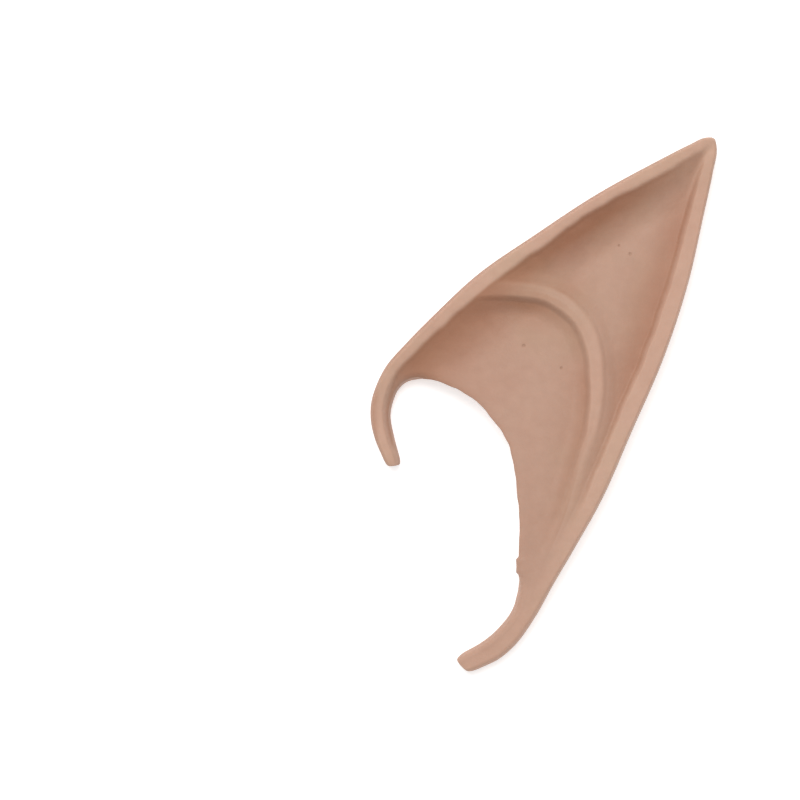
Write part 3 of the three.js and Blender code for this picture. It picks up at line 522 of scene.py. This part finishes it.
# ---- materials --------------------------------------------------------------------------------
def latex_material(pits):
    mat = bpy.data.materials.new("latex_skin")
    mat.use_nodes = True
    nt = mat.node_tree
    nodes, links = nt.nodes, nt.links
    bsdf = nodes["Principled BSDF"]
    out = nodes["Material Output"]
    bsdf.inputs["IOR"].default_value = 1.5
    bsdf.inputs["Specular IOR Level"].default_value = 0.35
    bsdf.inputs["Subsurface Weight"].default_value = 0.15
    bsdf.inputs["Subsurface Radius"].default_value = (0.6, 0.4, 0.3)
    bsdf.inputs["Subsurface Scale"].default_value = 0.001
    where = nodes.new("ShaderNodeNewGeometry")

    def noise_node(scale, detail, rough=0.5):
        n = nodes.new("ShaderNodeTexNoise")
        n.inputs["Scale"].default_value = scale
        n.inputs["Detail"].default_value = detail
        n.inputs["Roughness"].default_value = rough
        links.new(where.outputs["Position"], n.inputs["Vector"])
        return n

    def ramp(source, stops):
        r = nodes.new("ShaderNodeValToRGB")
        r.color_ramp.elements[0].position, r.color_ramp.elements[0].color = stops[0]
        r.color_ramp.elements[1].position, r.color_ramp.elements[1].color = stops[-1]
        for pos, col in stops[1:-1]:
            e = r.color_ramp.elements.new(pos)
            e.color = col
        links.new(source, r.inputs["Fac"])
        return r

    broad = noise_node(55, 3)
    colour = ramp(broad.outputs["Fac"], [(0.30, (0.478, 0.278, 0.200, 1)), (0.52, (0.492, 0.298, 0.217, 1)), (0.72, (0.482, 0.302, 0.215, 1))])
    fine = noise_node(420, 3, 0.6)
    tint = nodes.new("ShaderNodeMix")
    tint.data_type = "RGBA"
    tint.blend_type = "MULTIPLY"
    tint.inputs["Factor"].default_value = 1.0
    grey = ramp(fine.outputs["Fac"], [(0.25, (0.955, 0.95, 0.945, 1)), (0.75, (1.03, 1.03, 1.03, 1))])
    links.new(colour.outputs["Color"], tint.inputs["A"])
    links.new(grey.outputs["Color"], tint.inputs["B"])

    def attribute(name):
        n = nodes.new("ShaderNodeAttribute")
        n.attribute_name = name
        return n.outputs["Fac"]

    # painted light and shade: raised tops get a painted highlight (lighter), hollows a warm painted shade (deeper tone)
    colour_now = tint.outputs["Result"]
    for name, col in (("painted_highlight", (1.125, 1.145, 1.15, 1)), ("hollow", (0.78, 0.60, 0.475, 1))):
        wash = nodes.new("ShaderNodeMix")
        wash.data_type = "RGBA"
        wash.blend_type = "MULTIPLY"
        links.new(attribute(name), wash.inputs["Factor"])
        links.new(colour_now, wash.inputs["A"])
        wash.inputs["B"].default_value = col
        colour_now = wash.outputs["Result"]
    # burst bubbles: a small spot each, on the front face only; its darker colour is painted shade in the pit, and the
    # same spot dents the surface through the bump
    here = nodes.new("ShaderNodeTexCoord").outputs["Object"]
    flat = nodes.new("ShaderNodeVectorMath")
    flat.operation = "MULTIPLY"
    flat.inputs[1].default_value = (1, 1, 0.3)
    links.new(here, flat.inputs[0])
    spot = None
    for px, py, pz, radius in pits:
        away = nodes.new("ShaderNodeVectorMath")
        away.operation = "DISTANCE"
        links.new(flat.outputs["Vector"], away.inputs[0])
        away.inputs[1].default_value = (px / 1000, py / 1000, 0.3 * pz / 1000)
        inside = nodes.new("ShaderNodeMapRange")
        inside.interpolation_type = "SMOOTHSTEP"
        inside.inputs["From Min"].default_value = radius * 0.0003
        inside.inputs["From Max"].default_value = radius * 0.0012
        inside.inputs["To Min"].default_value = 1
        inside.inputs["To Max"].default_value = 0
        links.new(away.outputs["Value"], inside.inputs["Value"])
        if spot is None:
            spot = inside.outputs["Result"]
        else:
            most = nodes.new("ShaderNodeMath")
            most.operation = "MAXIMUM"
            links.new(spot, most.inputs[0])
            links.new(inside.outputs["Result"], most.inputs[1])
            spot = most.outputs["Value"]
    # painted shade: each pit's spot is darkened
    pit_painted_shade = nodes.new("ShaderNodeMix")
    pit_painted_shade.data_type = "RGBA"
    pit_painted_shade.blend_type = "MULTIPLY"
    links.new(spot, pit_painted_shade.inputs["Factor"])
    links.new(colour_now, pit_painted_shade.inputs["A"])
    pit_painted_shade.inputs["B"].default_value = (0.90, 0.87, 0.84, 1)
    links.new(pit_painted_shade.outputs["Result"], bsdf.inputs["Base Color"])
    rough = nodes.new("ShaderNodeMapRange")
    rough.inputs["To Min"].default_value = 0.52
    rough.inputs["To Max"].default_value = 0.68
    links.new(noise_node(160, 4).outputs["Fac"], rough.inputs["Value"])
    links.new(rough.outputs["Result"], bsdf.inputs["Roughness"])
    pores = noise_node(1500, 2, 0.6)
    bump = nodes.new("ShaderNodeBump")
    bump.inputs["Strength"].default_value = 0.25
    bump.inputs["Distance"].default_value = 0.0002
    links.new(pores.outputs["Fac"], bump.inputs["Height"])
    crater = nodes.new("ShaderNodeBump")
    crater.invert = True
    crater.inputs["Strength"].default_value = 0.6
    crater.inputs["Distance"].default_value = 0.00025
    links.new(spot, crater.inputs["Height"])
    links.new(bump.outputs["Normal"], crater.inputs["Normal"])
    links.new(crater.outputs["Normal"], bsdf.inputs["Normal"])
    return mat


def floor_material():
    mat = bpy.data.materials.new("floor_white")
    mat.use_nodes = True
    bsdf = mat.node_tree.nodes["Principled BSDF"]
    bsdf.inputs["Base Color"].default_value = (0.82, 0.82, 0.82, 1)
    bsdf.inputs["Emission Color"].default_value = (1, 1, 1, 1)
    bsdf.inputs["Emission Strength"].default_value = 0.5
    bsdf.inputs["Roughness"].default_value = 0.75
    bsdf.inputs["Specular IOR Level"].default_value = 0.2
    return mat


# ---- build ------------------------------------------------------------------------------------
ear, ear_pits = build_shell()
ear.data.materials.append(latex_material(ear_pits))
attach(ear, "root")
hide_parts("ear_shell")

plane = bpy.data.meshes.new("floor")
half = 3.0
plane.from_pydata([(-half, -half, 0), (half, -half, 0), (half, half, 0), (-half, half, 0)], [], [(0, 1, 2, 3)])
floor = bpy.data.objects.new("floor", plane)
floor.data.materials.append(floor_material())
scene.collection.objects.link(floor)
floor.location.z = -0.0002

# ---- light ------------------------------------------------------------------------------------
world = bpy.data.worlds.new("studio")
scene.world = world
world.use_nodes = True
world.node_tree.nodes["Background"].inputs["Color"].default_value = (1, 1, 1, 1)
world.node_tree.nodes["Background"].inputs["Strength"].default_value = 0.5


def area(name, place, target, size, power):
    data = bpy.data.lights.new(name, "AREA")
    data.shape = "RECTANGLE"
    data.size, data.size_y = size
    data.energy = power
    obj = bpy.data.objects.new(name, data)
    obj.location = place
    obj.rotation_euler = (Vector(place) - Vector(target)).to_track_quat("Z", "Y").to_euler()
    scene.collection.objects.link(obj)
    return obj


area("key_light", (-0.13, 0.34, 0.87), (0, 0, 0), (0.5, 0.5), 5.9)

# ---- camera: straight above, as in the photograph -----------------------------------------------
camera = bpy.data.cameras.new("camera")
camera.lens = 150
camera.sensor_width = 36
camera.clip_start = 0.01
camera_obj = bpy.data.objects.new("camera", camera)
camera_obj.location = (-0.0322 - 0.00004, 0.00084 + 0.0002, 0.754)
camera_obj.rotation_euler = (0, 0, 0)
scene.collection.objects.link(camera_obj)
scene.camera = camera_obj
scene.view_settings.view_transform = "Standard"
